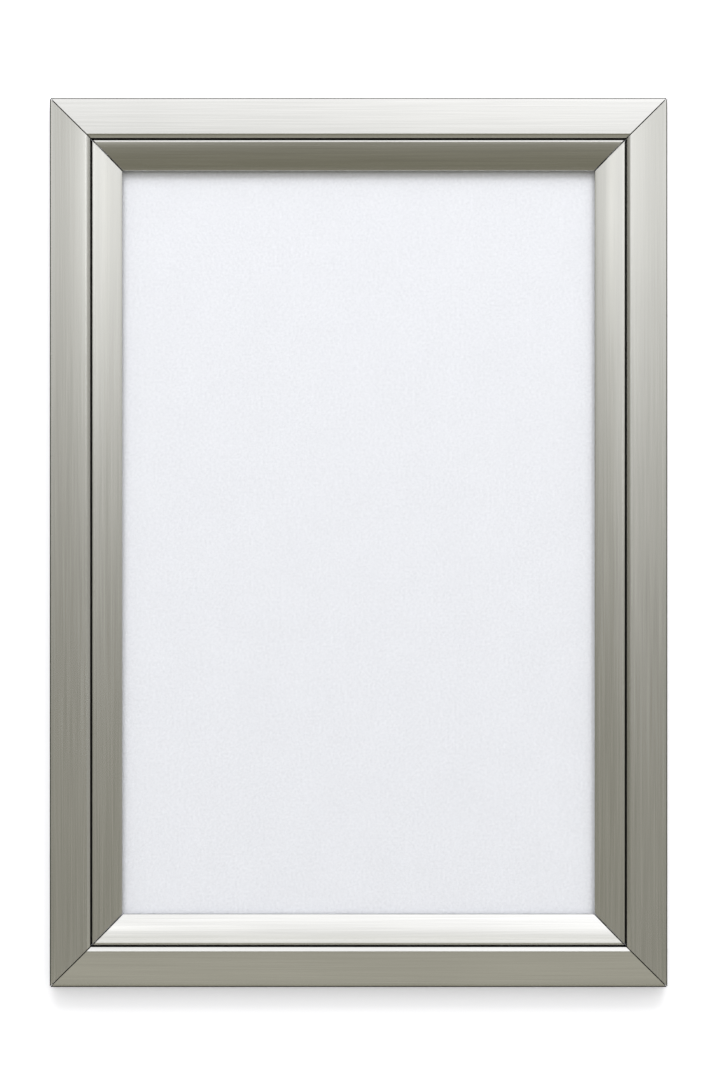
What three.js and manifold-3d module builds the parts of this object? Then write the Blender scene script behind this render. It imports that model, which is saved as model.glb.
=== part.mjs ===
import * as THREE from 'three';
import * as BufferGeometryUtils from 'three/addons/utils/BufferGeometryUtils.js';
import Module from 'manifold-3d';

// Snap frame for a poster sheet: a mitred ring of fixed aluminium rails, and on each rail
// a snap lid that swings open about a bead under the narrow gap. Leaf springs pull each lid
// shut against the sheet and, past the middle of its swing, hold it open.
// Millimetres, +Z up. The wall is the plane y = 0 and the front of the frame faces -Y.

const wasm = await Module();
wasm.setup();

// Sheet that the frame holds
const insertWidth = 279.4;
const insertHeight = 431.8;
const insertThickness = 0.3;
const lipOverlap = 7;

// Bands of one side, seen from the front
const fixedBandWidth = 23.1;
const gapWidth = 0.7;
const lidBandWidth = 16.8;
const chamferWidth = 2;

// Heights above the wall
const outerEdgeHeight = 11;
const ridgeHeight = 15.5;
const chamferDrop = 1.7;

// Fixed rail section
const floorThickness = 1.4;
const outerWall = 1.3;
const frontWall = 1.3;
const innerWall = 1.2;
const outerEdgeRadius = 1.4;
const ridgeRadius = 1.2;
const gapEdgeRadius = 0.3;
const innerFillet = 0.6;
const frontBulge = 0.35;
const floorLipSetback = 1.6;
const stackRibThickness = 1;
const stackRibRise = 0.3;

// Hinge between rail and lid
const beadRadius = 1.3;
const beadClearance = 0.15;
const cradleWall = 1;
const armThickness = 1.35;
const cradleStart = 228;
const cradleEnd = 330;

// Snap lid section
const lidSwing = 110;
const lidWall = 1.3;
const lidStartSlope = 7;
const lipDepth = 3;
const lipClearance = 0.3;
const lidRibOffset = 5.9;
const lidRibThickness = 1.1;
const lidFootReach = 0.9;
const lidFootThickness = 0.8;
const lidGrooveHeight = 1.2;

// Mitred corners
const railMitreGap = 0.45;
const lidMitreGap = 0.6;
const lidUndercut = 0.62;
const cradleCornerCut = 1;

// Leaf springs
const springThickness = 0.5;
const springLength = 18;
const springBellyRadius = 2.8;
const springLegLength = 2.15;
const springHookRadius = 0.6;
const springEndClearance = 0.25;
const springHookLip = 0.8;
const springHookDepth = 1.2;
const springSlot = 1.4;
const springsPerShortSide = 2;
const springsPerLongSide = 3;
const springEndDistance = 62;

// Corner keys in their channel
const keyWidth = 9.6;
const keyThickness = 2.4;
const keyLegLength = 46;
const keyClearance = 0.2;
const keyCentre = 11.2;
const keyHoleRadius = 1.6;
const keyInnerHole = 0.45;
const keyOuterHole = 0.85;
const channelRib = 1.2;
const channelFlange = 1.4;

// Sheets between the floor and the lids
const backingThickness = 2;
const coverThickness = 0.5;
const sheetMargin = 0.4;
const sheetGap = 0.1;
const sheetEdgeClearance = 0.4;

// Screw holes through the floor, under the lids
const screwHoleRadius = 2.25;
const screwHoleDistance = 26;

// Derived sizes
const bandWidth = fixedBandWidth + gapWidth + lidBandWidth;
const frameWidth = insertWidth - 2 * lipOverlap + 2 * bandWidth;
const frameHeight = insertHeight - 2 * lipOverlap + 2 * bandWidth;
const backingBottom = floorThickness + sheetGap;
const insertBottom = backingBottom + backingThickness + sheetGap;
const coverBottom = insertBottom + insertThickness + sheetGap;
const coverTop = coverBottom + coverThickness;
const backingEdge = bandWidth - lipOverlap - sheetMargin;
const hinge = new THREE.Vector2(
  fixedBandWidth + gapWidth + beadRadius,
  ridgeHeight - chamferDrop - beadRadius,
);
const smallArcSteps = 5;
const arcSteps = 10;
const bigArcSteps = 16;
const holeSegments = 32;
const weldDistance = 1e-4;
const touching = 0.01;

// Points and arcs of a section: u runs inward from the outer edge, v up from the wall

const at = (u, v) => new THREE.Vector2(u, v);

function arc(centre, radius, fromDegrees, toDegrees, steps = arcSteps) {
  const points = [];
  for (let i = 0; i <= steps; i += 1) {
    const angle = THREE.MathUtils.degToRad(fromDegrees + ((toDegrees - fromDegrees) * i) / steps);
    points.push(at(centre.x + radius * Math.cos(angle), centre.y + radius * Math.sin(angle)));
  }
  return points;
}

// Corner of an outline cut back to an arc that touches both of its sides
function fillet(before, corner, after, radius, steps = smallArcSteps) {
  const inDirection = corner.clone().sub(before).normalize();
  const outDirection = after.clone().sub(corner).normalize();
  const turn = Math.atan2(inDirection.cross(outDirection), inDirection.dot(outDirection));
  const reach = radius * Math.tan(Math.abs(turn) / 2);
  const start = corner.clone().addScaledVector(inDirection, -reach);
  const points = [];
  for (let i = 0; i <= steps; i += 1) {
    const angle = (turn * i) / steps;
    const along = radius * Math.sin(Math.abs(angle));
    const across = radius * (1 - Math.cos(angle)) * Math.sign(turn);
    points.push(
      at(
        start.x + inDirection.x * along - inDirection.y * across,
        start.y + inDirection.y * along + inDirection.x * across,
      ),
    );
  }
  return points;
}

// Where two circles cross, on the side that lies counterclockwise from the line first to second
function circleMeet(first, firstRadius, second, secondRadius) {
  const line = second.clone().sub(first);
  const distance = line.length();
  const along = (distance ** 2 + firstRadius ** 2 - secondRadius ** 2) / (2 * distance);
  const across = Math.sqrt(firstRadius ** 2 - along ** 2);
  line.normalize();
  return at(
    first.x + line.x * along - line.y * across,
    first.y + line.y * along + line.x * across,
  );
}

const angleOf = (centre, point) =>
  THREE.MathUtils.radToDeg(Math.atan2(point.y - centre.y, point.x - centre.x));

// Front face of the fixed rail: a shallow arch from the outer edge up to the ridge
const ridgeStart = fixedBandWidth - chamferWidth;

function frontHeight(u, below = 0) {
  const share = u / ridgeStart;
  const straight = outerEdgeHeight + (ridgeHeight - outerEdgeHeight) * share;
  return straight + 4 * frontBulge * share * (1 - share) - below;
}

function frontFace(fromU, toU, below, steps = bigArcSteps) {
  const points = [];
  for (let i = 0; i <= steps; i += 1) {
    const u = fromU + ((toU - fromU) * i) / steps;
    points.push(at(u, frontHeight(u, below)));
  }
  return points;
}

// Hollow of the fixed rail, with the hooked channel that the corner keys slide into
function chamberOutline() {
  const ceiling = frontWall / Math.cos(Math.atan2(ridgeHeight - outerEdgeHeight, ridgeStart));
  const wallFace = fixedBandWidth - innerWall;
  const channelHalf = keyWidth / 2 + keyClearance;
  const left = keyCentre - channelHalf;
  const right = keyCentre + channelHalf;
  const underFlange = floorThickness + keyThickness + 2 * keyClearance;
  const flangeTop = underFlange + channelRib;
  const slope = chamferDrop / chamferWidth;
  const chamferCeiling = frontWall * Math.hypot(1, slope);
  const ceilingTop = frontHeight(ridgeStart, ceiling);
  const kneeU = ridgeStart + (ridgeHeight - chamferCeiling - ceilingTop) / slope;
  const corner = at(outerWall, frontHeight(outerWall, ceiling));
  const knee = at(Math.min(kneeU, wallFace), ceilingTop);
  const underChamfer = ridgeHeight - chamferCeiling - slope * (wallFace - ridgeStart);
  const wallTop = at(wallFace, Math.min(ceilingTop, underChamfer));
  return [
    at(outerWall, floorThickness),
    at(left - channelRib, floorThickness),
    at(left - channelRib, flangeTop),
    at(left + channelFlange, flangeTop),
    at(left + channelFlange, underFlange),
    at(left, underFlange),
    at(left, floorThickness),
    at(right, floorThickness),
    at(right, underFlange),
    at(right - channelFlange, underFlange),
    at(right - channelFlange, flangeTop),
    at(right + channelRib, flangeTop),
    at(right + channelRib, floorThickness),
    at(wallFace, floorThickness),
    wallTop,
    knee,
    ...frontFace(outerWall + innerFillet, knee.x, ceiling).reverse().slice(1),
    corner.clone().setY(corner.y - innerFillet),
  ];
}

// Section of the fixed rail: floor, outer wall, arched front, chamfer, and the hinge cradle
const cradleRadius = beadRadius + beadClearance;
const armTop = hinge.y + cradleRadius * Math.sin(THREE.MathUtils.degToRad(cradleStart));
const armBottom = armTop - armThickness;
const hookBottom = armBottom - springHookDepth;
const springLine = fixedBandWidth + springSlot / 2;

function railShape() {
  const outer = cradleRadius + cradleWall;
  const ribInside = backingEdge - sheetEdgeClearance;
  const ribOutside = ribInside - stackRibThickness;
  const ribTop = coverTop + stackRibRise;
  const ribFoot = at(ribOutside, floorThickness);
  const floorEnd = bandWidth - floorLipSetback;
  const hookLeft = fixedBandWidth + springSlot;
  const hookRight = hookLeft + springHookLip;
  const hookMeets = THREE.MathUtils.radToDeg(Math.acos((hookRight - hinge.x) / outer));
  const ridge = at(ridgeStart, ridgeHeight);
  const gapCorner = at(fixedBandWidth, ridgeHeight - chamferDrop);
  const slotFloor = at(fixedBandWidth, floorThickness);
  const armFoot = at(fixedBandWidth, armBottom);
  const slotCorner = at(fixedBandWidth, armTop);
  const ridgeTail = ridgeStart - 2 * ridgeRadius;
  const beforeRidge = at(ridgeTail, frontHeight(ridgeTail));
  const edgeCorner = at(0, outerEdgeHeight);
  const edgeInner = at(2 * outerEdgeRadius, frontHeight(2 * outerEdgeRadius));
  const outline = [
    at(0, 0),
    at(floorEnd, 0),
    at(floorEnd, floorThickness),
    at(ribInside, floorThickness),
    at(ribInside, ribTop),
    at(ribOutside, ribTop),
    ribFoot,
    ...fillet(ribFoot, slotFloor, armFoot, innerFillet),
    armFoot,
    at(hookLeft, armBottom),
    at(hookLeft, hookBottom),
    at(hookRight, hookBottom),
    ...arc(hinge, outer, 360 - hookMeets, cradleEnd),
    ...arc(hinge, cradleRadius, cradleEnd, cradleStart),
    slotCorner,
    ...fillet(slotCorner, gapCorner, ridge, gapEdgeRadius),
    ...fillet(gapCorner, ridge, beforeRidge, ridgeRadius),
    ...frontFace(edgeInner.x, beforeRidge.x, 0).reverse(),
    ...fillet(edgeInner, edgeCorner, at(0, 0), outerEdgeRadius),
  ];
  const shape = new THREE.Shape(outline);
  shape.holes.push(new THREE.Path(chamberOutline()));
  return shape;
}

// Middle line of the lid wall: an arc that leaves the bead at the start slope and ends over
// the lip, which turns down and closes just above the cover sheet
const lipBottom = coverTop + lipClearance;

function lidArc() {
  const slope = THREE.MathUtils.degToRad(lidStartSlope);
  const lip = at(bandWidth - lidWall / 2, lipBottom + lipDepth - lidWall / 2);
  const rise = beadRadius - lidWall / 2;
  const start = at(hinge.x + rise * Math.sin(slope), hinge.y + rise * Math.cos(slope));
  const chord = lip.clone().sub(start);
  const halfTurn = Math.atan2(-chord.y, chord.x) - slope;
  const radius = chord.length() / (2 * Math.sin(halfTurn));
  const centre = at(start.x - radius * Math.sin(slope), start.y - radius * Math.cos(slope));
  return { centre, radius, lip, from: 90 - lidStartSlope, to: angleOf(centre, lip) };
}

const lidLine = lidArc();
const lidUpperRadius = lidLine.radius + lidWall / 2;
const lidLowerRadius = lidLine.radius - lidWall / 2;

const heightOnArc = (u, radius) =>
  lidLine.centre.y + Math.sqrt(radius ** 2 - (u - lidLine.centre.x) ** 2);

function lidFrontHeight(u) {
  const startAngle = THREE.MathUtils.degToRad(lidLine.from);
  const start = lidLine.centre.x + lidUpperRadius * Math.cos(startAngle);
  if (u < start) {
    const inside = Math.max(beadRadius ** 2 - (u - hinge.x) ** 2, 0);
    return hinge.y + Math.sqrt(inside);
  }
  return heightOnArc(Math.min(u, lidLine.lip.x), lidUpperRadius);
}

// Spring groove under the lid: a rib with a foot that points back towards the hinge
const lidRibLeft = hinge.x + lidRibOffset;
const lidFootLeft = lidRibLeft - lidFootReach;
const lidFootTop = heightOnArc(lidFootLeft, lidLowerRadius) - lidGrooveHeight;

function lidShape() {
  const { centre, lip, from, to } = lidLine;
  const ribRight = lidRibLeft + lidRibThickness;
  const footBottom = lidFootTop - lidFootThickness;
  const ribLeftTop = at(lidRibLeft, heightOnArc(lidRibLeft, lidLowerRadius));
  const ribRightTop = at(ribRight, heightOnArc(ribRight, lidLowerRadius));
  const throat = circleMeet(hinge, beadRadius, centre, lidLowerRadius);
  const throatAngle = angleOf(hinge, throat);
  const lipInside = bandWidth - lidWall;
  const lipRoot = at(lipInside, heightOnArc(lipInside, lidLowerRadius));
  const lipFoot = at(lip.x, lipBottom + lidWall / 2);
  const outline = [
    ...arc(centre, lidUpperRadius, from, to, bigArcSteps),
    ...arc(lip, lidWall / 2, to, 0, smallArcSteps).slice(1),
    ...arc(lipFoot, lidWall / 2, 0, -180),
    ...arc(centre, lidLowerRadius, angleOf(centre, lipRoot), angleOf(centre, ribRightTop)),
    at(ribRight, footBottom),
    at(lidFootLeft, footBottom),
    at(lidFootLeft, lidFootTop),
    at(lidRibLeft, lidFootTop),
    ...arc(centre, lidLowerRadius, angleOf(centre, ribLeftTop), angleOf(centre, throat)),
    ...arc(hinge, beadRadius, throatAngle, from - 360, 2 * arcSteps).slice(1, -1),
  ];
  return new THREE.Shape(outline.reverse());
}

// A section carried along a side and cut at both ends: setback says how far each point of
// the section stands back from the outer corner
function mitredSide(shape, length, setback) {
  const geometry = new THREE.ExtrudeGeometry(shape, { depth: 1, steps: 1, bevelEnabled: false });
  const position = geometry.attributes.position;
  for (let i = 0; i < position.count; i += 1) {
    const side = position.getZ(i) > 0.5 ? 1 : -1;
    const end = length / 2 - setback(position.getX(i), position.getY(i));
    position.setZ(i, side * end);
  }
  return alongSide(geometry);
}

// Turns a section's u, v and length into the side's own axes: x along, -y out, z inward
function alongSide(geometry) {
  const axes = new THREE.Matrix4().set(0, 0, 1, 0, 0, -1, 0, 0, 1, 0, 0, 0, 0, 0, 0, 1);
  return geometry.applyMatrix4(axes);
}

function toManifold(geometry) {
  const bare = geometry.clone();
  bare.deleteAttribute('normal');
  bare.deleteAttribute('uv');
  const merged = BufferGeometryUtils.mergeVertices(bare, weldDistance);
  return new wasm.Manifold(
    new wasm.Mesh({
      numProp: 3,
      vertProperties: new Float32Array(merged.attributes.position.array),
      triVerts: new Uint32Array(merged.index.array),
    }),
  );
}

function fromManifold(solid) {
  const mesh = solid.getMesh();
  const corners = new Float32Array(mesh.vertProperties);
  const geometry = new THREE.BufferGeometry();
  geometry.setAttribute('position', new THREE.BufferAttribute(corners, 3));
  geometry.setIndex(new THREE.BufferAttribute(new Uint32Array(mesh.triVerts), 1));
  geometry.computeVertexNormals();
  return geometry;
}

// Materials
const finish = (color, metalness, roughness) =>
  new THREE.MeshStandardMaterial({ color, metalness, roughness });

const railMetal = finish('#a8a69c', 0.9, 0.36);
const lidMetal = finish('#acaaa0', 0.9, 0.34);
const springSteel = finish('#5d6066', 0.95, 0.3);
const zincSteel = finish('#b3b7ba', 0.9, 0.45);
const whiteBoard = finish('#e6e5e0', 0, 0.8);
const blankPaper = finish('#eef0f4', 0, 0.9);
const clearSheet = finish('#f4f6fa', 0, 0.4);
clearSheet.transparent = true;
clearSheet.opacity = 0.25;

function namedMesh(name, geometry, material) {
  const mesh = new THREE.Mesh(geometry, material);
  mesh.name = name;
  return mesh;
}

// Fixed rail's mitre. The cradle stops short of it, clear of the bead beside it.
function railSetback(u, v) {
  const onCradle = u > springLine && v > hookBottom - touching;
  return u + railMitreGap / Math.SQRT2 + (onCradle ? cradleCornerCut : 0);
}

// Fixed rail of one side, with its two screw holes when the side carries them
function baseRail(name, length, hasScrewHoles) {
  const body = mitredSide(railShape(), length, railSetback);
  if (!hasScrewHoles) {
    return namedMesh(name, body, railMetal);
  }
  const ribOutside = backingEdge - sheetEdgeClearance - stackRibThickness;
  const holeLine = (fixedBandWidth + ribOutside) / 2;
  const holeStation = length / 2 - holeLine - screwHoleDistance;
  let solid = toManifold(body);
  for (const side of [-1, 1]) {
    const depth = 2 * floorThickness;
    const drill = new THREE.CylinderGeometry(screwHoleRadius, screwHoleRadius, depth, holeSegments);
    drill.translate(side * holeStation, -floorThickness / 2, holeLine);
    solid = solid.subtract(toManifold(drill));
  }
  return namedMesh(name, fromManifold(solid), railMetal);
}

// Lid's mitre. It leans back below the front surface, so that the lip can swing up past
// the lid beside it, and the bead ends where its turned outline still clears the mitre.
function lidSetback(u, v) {
  const leaning = u + lidUndercut * Math.max(lidFrontHeight(u) - v, 0);
  const arm = Math.hypot(u - hinge.x, v - hinge.y);
  const onBead = arm < beadRadius + touching;
  const start = (angleOf(hinge, at(u, v)) + 360) % 360;
  const nearest = Math.min(start + lidSwing, 360);
  const turned = hinge.x + arm * Math.cos(THREE.MathUtils.degToRad(nearest));
  return lidMitreGap / Math.SQRT2 + (onBead ? Math.max(leaning, turned) : leaning);
}

// Snap lid of one side, drawn about its hinge line
function snapLid(name, length) {
  const body = mitredSide(lidShape(), length, lidSetback);
  body.translate(0, hinge.y, -hinge.x);
  return namedMesh(name, body, lidMetal);
}

// Leaf spring: up into the slot behind the cradle hook, down round a belly, up past the
// lid's foot and over it into the groove
function springPath() {
  const slotTop = armBottom - springEndClearance;
  const bellyHeight = slotTop - springLegLength;
  const belly = at(springLine + springBellyRadius, bellyHeight);
  const overFoot = lidFootTop + springHookRadius;
  const hookTop = at(belly.x + springBellyRadius + springHookRadius, overFoot - springHookRadius);
  return [
    at(springLine, slotTop),
    ...arc(belly, springBellyRadius, 180, 360, bigArcSteps),
    ...arc(hookTop, springHookRadius, 180, 90, smallArcSteps),
    at(lidRibLeft - springEndClearance, overFoot),
  ];
}

function strip(path, thickness) {
  const sides = [[], []];
  path.forEach((point, i) => {
    const before = path[Math.max(i - 1, 0)];
    const after = path[Math.min(i + 1, path.length - 1)];
    const along = after.clone().sub(before).normalize();
    const offset = at(-along.y, along.x).multiplyScalar(thickness / 2);
    sides[0].push(point.clone().add(offset));
    sides[1].push(point.clone().sub(offset));
  });
  return new THREE.Shape([...sides[1], ...sides[0].reverse()]);
}

function leafSpring(name, station) {
  const geometry = new THREE.ExtrudeGeometry(strip(springPath(), springThickness), {
    depth: springLength,
    steps: 1,
    bevelEnabled: false,
  });
  geometry.translate(0, 0, -springLength / 2);
  const mesh = namedMesh(name, alongSide(geometry), springSteel);
  mesh.position.x = station;
  return mesh;
}

// One side of the frame: rail, springs, and the lid on its hinge line. The short sides
// carry the screw holes.
function frameSide(name, isShort) {
  const length = isShort ? frameWidth : frameHeight;
  const springs = isShort ? springsPerShortSide : springsPerLongSide;
  const side = new THREE.Group();
  side.name = `${name}_side`;
  side.add(baseRail(`base_rail_${name}`, length, isShort));
  const firstStation = length / 2 - bandWidth - springEndDistance;
  for (let i = 0; i < springs; i += 1) {
    const station = firstStation * ((2 * i) / (springs - 1) - 1);
    side.add(leafSpring(`leaf_spring_${name}_${i + 1}`, station));
  }
  const hingeLine = new THREE.Group();
  hingeLine.name = `${name}_hinge_line`;
  hingeLine.position.set(0, -hinge.y, hinge.x);
  hingeLine.add(snapLid(`snap_lid_${name}`, length));
  side.add(hingeLine);
  return side;
}

// Stamped L key that joins two rails at a corner; its legs lie in the rails' channels
function cornerKey(name) {
  const half = keyWidth / 2;
  const near = keyCentre - half;
  const far = keyCentre + half;
  const end = keyCentre + keyLegLength;
  const shape = new THREE.Shape([
    at(near, near),
    at(end, near),
    at(end, far),
    at(far, far),
    at(far, end),
    at(near, end),
  ]);
  for (const share of [keyInnerHole, keyOuterHole]) {
    const station = keyCentre + keyLegLength * share;
    for (const [u, w] of [[station, keyCentre], [keyCentre, station]]) {
      const hole = new THREE.Path();
      hole.absarc(u, w, keyHoleRadius, 0, 2 * Math.PI, true);
      shape.holes.push(hole);
    }
  }
  const geometry = new THREE.ExtrudeGeometry(shape, {
    depth: keyThickness,
    bevelEnabled: false,
    curveSegments: arcSteps,
  });
  geometry.rotateX(Math.PI / 2);
  geometry.translate(0, -(floorThickness + keyClearance), 0);
  return namedMesh(name, geometry, zincSteel);
}

function flatSheet(name, width, height, thickness, bottom, material) {
  const mesh = namedMesh(name, new THREE.BoxGeometry(width, thickness, height), material);
  mesh.position.y = -(bottom + thickness / 2);
  return mesh;
}

const snapFrame = new THREE.Group();
snapFrame.name = 'snap_frame';

const quarter = Math.PI / 2;
const sides = [
  { name: 'bottom', isShort: true, turn: 0 },
  { name: 'left', isShort: false, turn: 1 },
  { name: 'top', isShort: true, turn: 2 },
  { name: 'right', isShort: false, turn: 3 },
];
for (const { name, isShort, turn } of sides) {
  const side = frameSide(name, isShort);
  const reach = (isShort ? frameHeight : frameWidth) / 2;
  side.rotation.y = turn * quarter;
  side.position.set(-Math.sin(side.rotation.y) * reach, 0, -Math.cos(side.rotation.y) * reach);
  snapFrame.add(side);
}

const corners = [
  { name: 'bottom_left', turn: 0, x: -1, z: -1 },
  { name: 'top_left', turn: 1, x: -1, z: 1 },
  { name: 'top_right', turn: 2, x: 1, z: 1 },
  { name: 'bottom_right', turn: 3, x: 1, z: -1 },
];
for (const { name, turn, x, z } of corners) {
  const corner = new THREE.Group();
  corner.name = `${name}_corner`;
  corner.rotation.y = turn * quarter;
  corner.position.set((x * frameWidth) / 2, 0, (z * frameHeight) / 2);
  corner.add(cornerKey(`corner_key_${name}`));
  snapFrame.add(corner);
}

const sheetWidth = insertWidth + 2 * sheetMargin;
const sheetHeight = insertHeight + 2 * sheetMargin;
snapFrame.add(
  flatSheet('backing_panel', sheetWidth, sheetHeight, backingThickness, backingBottom, whiteBoard),
  flatSheet('poster_insert', insertWidth, insertHeight, insertThickness, insertBottom, blankPaper),
  flatSheet('cover_sheet', sheetWidth, sheetHeight, coverThickness, coverBottom, clearSheet),
);

export default snapFrame;
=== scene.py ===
import bmesh
import bpy
import numpy as np
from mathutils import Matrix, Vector
from mathutils.geometry import tessellate_polygon


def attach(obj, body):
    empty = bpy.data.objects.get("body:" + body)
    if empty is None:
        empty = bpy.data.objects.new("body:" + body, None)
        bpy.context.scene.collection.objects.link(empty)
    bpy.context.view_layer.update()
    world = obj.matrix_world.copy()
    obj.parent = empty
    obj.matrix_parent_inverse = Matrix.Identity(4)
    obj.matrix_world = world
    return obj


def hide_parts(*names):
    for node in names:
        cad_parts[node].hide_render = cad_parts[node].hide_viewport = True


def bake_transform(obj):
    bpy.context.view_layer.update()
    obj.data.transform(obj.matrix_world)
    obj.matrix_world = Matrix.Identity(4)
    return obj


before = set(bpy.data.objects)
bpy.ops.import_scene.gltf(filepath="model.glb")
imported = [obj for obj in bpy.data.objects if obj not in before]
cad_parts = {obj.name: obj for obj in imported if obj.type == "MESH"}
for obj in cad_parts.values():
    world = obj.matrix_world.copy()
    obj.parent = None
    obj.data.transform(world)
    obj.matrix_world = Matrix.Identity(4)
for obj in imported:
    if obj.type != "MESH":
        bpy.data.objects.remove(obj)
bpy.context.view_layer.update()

# Snap frame: brushed metal rails and snap lids, leaf springs, and the sheets they hold.
# Sections are drawn in millimetres, u inward from the outer edge and v up from the wall.
# Angles are in degrees, anticlockwise from u towards v.
MM = 0.001

WIDTH, HEIGHT = 346.6, 499.0
FIXED_BAND, GAP, LID_BAND = 23.1, 0.7, 16.8
BAND = FIXED_BAND + GAP + LID_BAND
CHAMFER_WIDTH, CHAMFER_DROP = 2.0, 1.7
EDGE_HEIGHT, RIDGE_HEIGHT, BULGE = 11.0, 15.5, 0.35
EDGE_ROUND, RIDGE_ROUND, GAP_ROUND = 1.4, 1.2, 0.3
FLOOR, OUTER_WALL, FRONT_WALL, INNER_WALL = 1.4, 1.3, 1.3, 1.2
BEAD, BEAD_CLEARANCE, CRADLE_WALL, ARM = 1.3, 0.15, 1.0, 1.35
CRADLE_START, CRADLE_END = 228.0, 330.0
HINGE_U = FIXED_BAND + GAP + BEAD
HINGE_V = RIDGE_HEIGHT - CHAMFER_DROP - BEAD
LID_WALL, LID_SLOPE, LIP_DEPTH = 1.3, 7.0, 3.0
COVER_TOP, LIP_CLEARANCE = 4.5, 0.3
RIDGE_U = FIXED_BAND - CHAMFER_WIDTH

# The sheets' edge, the rib that holds it and the rail's floor under it
LIP_OVERLAP, SHEET_MARGIN = 7.0, 0.4
BACKING_EDGE = BAND - LIP_OVERLAP - SHEET_MARGIN
RIB_EDGE, RIB_WALL, RIB_TOP = BACKING_EDGE - 0.4, 1.0, COVER_TOP + 0.3
FLOOR_END = BAND - 1.6
HOLE_RADIUS, HOLE_STATION = 2.25, 26.0
HOLE_LINE = (FIXED_BAND + RIB_EDGE - RIB_WALL) / 2

# The rail's arm, its hook, and the leaf spring between them and the lid's foot
SLOT_BOTTOM = HINGE_V + (BEAD + BEAD_CLEARANCE) * np.sin(np.radians(CRADLE_START))
ARM_BOTTOM = SLOT_BOTTOM - ARM
HOOK_WIDTH, HOOK_DROP = 0.8, 1.2
SPRING_SLOT, SPRING_BELLY, SPRING_LEG, SPRING_HOOK = 1.4, 2.8, 2.15, 0.6
SPRING_THICK, SPRING_LONG, SPRING_END, SPRING_CORNER = 0.5, 18.0, 62.0, 1.2
SPRING_CLEARANCE = 0.25
LID_RIB, LID_RIB_WALL = 5.9, 1.1
FOOT_WIDTH, FOOT_THICK, FOOT_DROP = 0.9, 0.8, 1.2

# Channel in the rail for the corner keys
KEY_LINE, KEY_HALF = 11.2, 5.0
CHANNEL_WALL, CHANNEL_LIP, CHANNEL_DEPTH, CHANNEL_TOP = 1.2, 1.4, 2.8, 4.0

# Mitres: the small bevel at cut ends, the setback of each end, and how a lid clears them
END_BEVEL = 0.12
RAIL_GAP, LID_GAP = 0.45 / np.sqrt(2), 0.6 / np.sqrt(2)
CRADLE_SETBACK, LID_LEAN, SWING = 1.0, 0.62, 110.0

# Each side: its quarter turns, its length, its distance from the middle and its springs
SIDES = {
    "bottom": (0, WIDTH, HEIGHT / 2, 2),
    "left": (1, HEIGHT, WIDTH / 2, 3),
    "top": (2, WIDTH, HEIGHT / 2, 2),
    "right": (3, HEIGHT, WIDTH / 2, 3),
}


# Sections of the rail and the lid

def arc(centre, radius, start, end, steps):
    """Points at equal angles on a circle, from start to end in degrees."""
    t = np.radians(np.linspace(start, end, steps))
    return np.column_stack([centre[0] + radius * np.cos(t), centre[1] + radius * np.sin(t)])


def rounded(corners, steps=5):
    """Outline whose corners (u, v, radius) are cut back to arcs that touch both sides:
    the arc starts radius * tan(half the turn) before the corner."""
    pts = np.array([c[:2] for c in corners], float)
    out = []
    for i, (_, _, radius) in enumerate(corners):
        here, before, after = pts[i], pts[i - 1], pts[(i + 1) % len(pts)]
        if radius == 0:
            out.append(here[None])
            continue
        a = (here - before) / np.linalg.norm(here - before)
        b = (after - here) / np.linalg.norm(after - here)
        turn = np.arctan2(a[0] * b[1] - a[1] * b[0], a @ b)
        t = np.linspace(0, turn, steps)
        along = radius * np.sin(np.abs(t))
        across = radius * (1 - np.cos(t)) * np.sign(turn)
        start = here - a * radius * np.tan(abs(turn) / 2)
        normal = np.array([-a[1], a[0]])
        out.append(start + along[:, None] * a + across[:, None] * normal)
    return np.vstack(out)


def front_height(u):
    """Arched front of the fixed rail: a straight rise to the ridge plus a parabola."""
    share = u / RIDGE_U
    return EDGE_HEIGHT + (RIDGE_HEIGHT - EDGE_HEIGHT) * share + 4 * BULGE * share * (1 - share)


def with_radius(points):
    """Points of a curve as corners that stay as they are."""
    return [(u, v, 0.0) for u, v in points]


def rail_outline():
    """Fixed rail outside: floor, outer wall, arched front, chamfer, hinge cradle, arm with its
    hook, and the rib beside the stack of sheets. The hook's inner face ends just past the
    place where it meets the cradle's outer circle, at the angle arccos(distance / radius)."""
    hinge = (HINGE_U, HINGE_V)
    inner = BEAD + BEAD_CLEARANCE
    outer = inner + CRADLE_WALL
    hook, hook_end = FIXED_BAND + SPRING_SLOT, FIXED_BAND + SPRING_SLOT + HOOK_WIDTH
    hook_low = ARM_BOTTOM - HOOK_DROP
    hook_meets = np.degrees(np.arccos((hook_end - HINGE_U) / outer))
    u = np.linspace(RIDGE_U - 2 * RIDGE_ROUND, 2 * EDGE_ROUND, 28)
    front = np.column_stack([u, front_height(u)])
    corners = [
        (0, 0, 0.25), (FLOOR_END, 0, 0.25), (FLOOR_END, FLOOR, 0.25),
        (RIB_EDGE, FLOOR, 0.15), (RIB_EDGE, RIB_TOP, 0.25),
        (RIB_EDGE - RIB_WALL, RIB_TOP, 0.25), (RIB_EDGE - RIB_WALL, FLOOR, 0.3),
        (FIXED_BAND, FLOOR, 0.6), (FIXED_BAND, ARM_BOTTOM, 0.2), (hook, ARM_BOTTOM, 0.2),
        (hook, hook_low, 0.22), (hook_end, hook_low, 0.22),
        *with_radius(arc(hinge, outer, 360 - hook_meets + 3, CRADLE_END, 14)),
        *with_radius(arc(hinge, inner, CRADLE_END, CRADLE_START, 22)),
        (FIXED_BAND, SLOT_BOTTOM, 0.15),
        (FIXED_BAND, RIDGE_HEIGHT - CHAMFER_DROP, GAP_ROUND), (RIDGE_U, RIDGE_HEIGHT, RIDGE_ROUND),
        *with_radius(front),
        (0, EDGE_HEIGHT, EDGE_ROUND),
    ]
    return rounded(corners, 9)


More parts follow.
